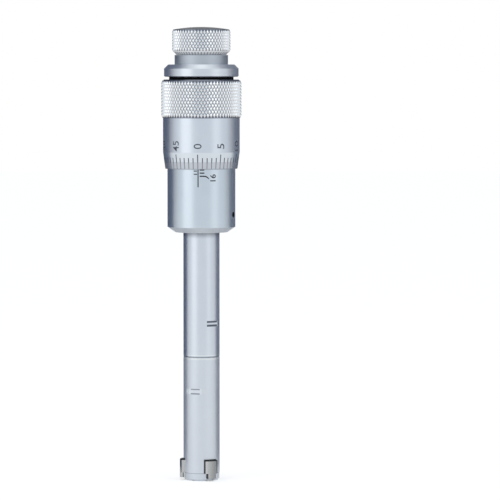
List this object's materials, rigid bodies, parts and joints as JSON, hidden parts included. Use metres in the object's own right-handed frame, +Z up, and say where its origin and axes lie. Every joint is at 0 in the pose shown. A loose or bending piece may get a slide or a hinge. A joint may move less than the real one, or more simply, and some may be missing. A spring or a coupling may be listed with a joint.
{
  "type": "three-point inside micrometer",
  "caption": "Three-point inside micrometer with a slim stem, radial anvils on a cone, a graduated sleeve, a knurled thimble and a ratchet knob.",
  "frame": {"origin": "centre of the end face of the measuring head, on the micrometer's axis, at its lowest point", "axes": "+Z up along the micrometer's axis towards the ratchet knob, -Y the side with the index line, +X right of it"},
  "size_m": [0.0256, 0.0256, 0.145],
  "materials": {
    "satin_chrome": "satin chrome",
    "ground_steel": "ground",
    "spring_steel": "dark",
    "brass": "turned"
  },
  "bodies": {
    "frame": {"measuring_head": "satin_chrome", "end_cap": "satin_chrome", "end_cap_screws": "spring_steel", "stem_tube": "satin_chrome", "barrel": "satin_chrome", "graduated_sleeve": "satin_chrome", "adjusting_nut": "ground_steel", "retracting_spring": "spring_steel", "return_spring": "spring_steel"},
    "cone_rod": {"measuring_cone": "ground_steel", "push_rod": "ground_steel", "rod_collar": "brass", "thrust_ball": "ground_steel"},
    "thimble": {"spindle": "ground_steel", "thimble": "satin_chrome", "thimble_cap": "satin_chrome", "ratchet_wheel": "ground_steel", "ratchet_screw": "ground_steel"},
    "ratchet": {"ratchet_knob": "satin_chrome", "ratchet_pawl": "brass", "ratchet_spring": "spring_steel", "knob_cap": "satin_chrome"},
    "anvil_1": {"anvil_1": "ground_steel"},
    "anvil_2": {"anvil_2": "ground_steel"},
    "anvil_3": {"anvil_3": "ground_steel"}
  },
  "joints": [
    {"name": "cone_feed", "type": "slide", "parent": "frame", "child": "cone_rod", "axis": [0, 0, 1], "range_m": [-0.002, 0.002], "deforming": ["return_spring"]},
    {"name": "thimble_turn", "type": "hinge", "parent": "cone_rod", "child": "thimble", "pos_m": [0, 0, 0.114], "axis": [0, 0, 1], "range_deg": [-1440, 1440]},
    {"name": "ratchet_turn", "type": "hinge", "parent": "thimble", "child": "ratchet", "pos_m": [0, 0, 0.1395], "axis": [0, 0, 1], "continuous": true},
    {"name": "anvil_1_slide", "type": "slide", "parent": "frame", "child": "anvil_1", "axis": [-1, 0, 0], "range_m": [-0.001, 0.001], "deforming": ["retracting_spring"]},
    {"name": "anvil_2_slide", "type": "slide", "parent": "frame", "child": "anvil_2", "axis": [0.5, -0.866, 0], "range_m": [-0.001, 0.001]},
    {"name": "anvil_3_slide", "type": "slide", "parent": "frame", "child": "anvil_3", "axis": [0.5, 0.866, 0], "range_m": [-0.001, 0.001]}
  ],
  "couplings": [
    {"joint": "thimble_turn", "follows": "cone_feed", "rad_per_m": 12566},
    {"joint": "anvil_1_slide", "follows": "cone_feed", "ratio": -0.5},
    {"joint": "anvil_2_slide", "follows": "cone_feed", "ratio": -0.5},
    {"joint": "anvil_3_slide", "follows": "cone_feed", "ratio": -0.5}
  ]
}
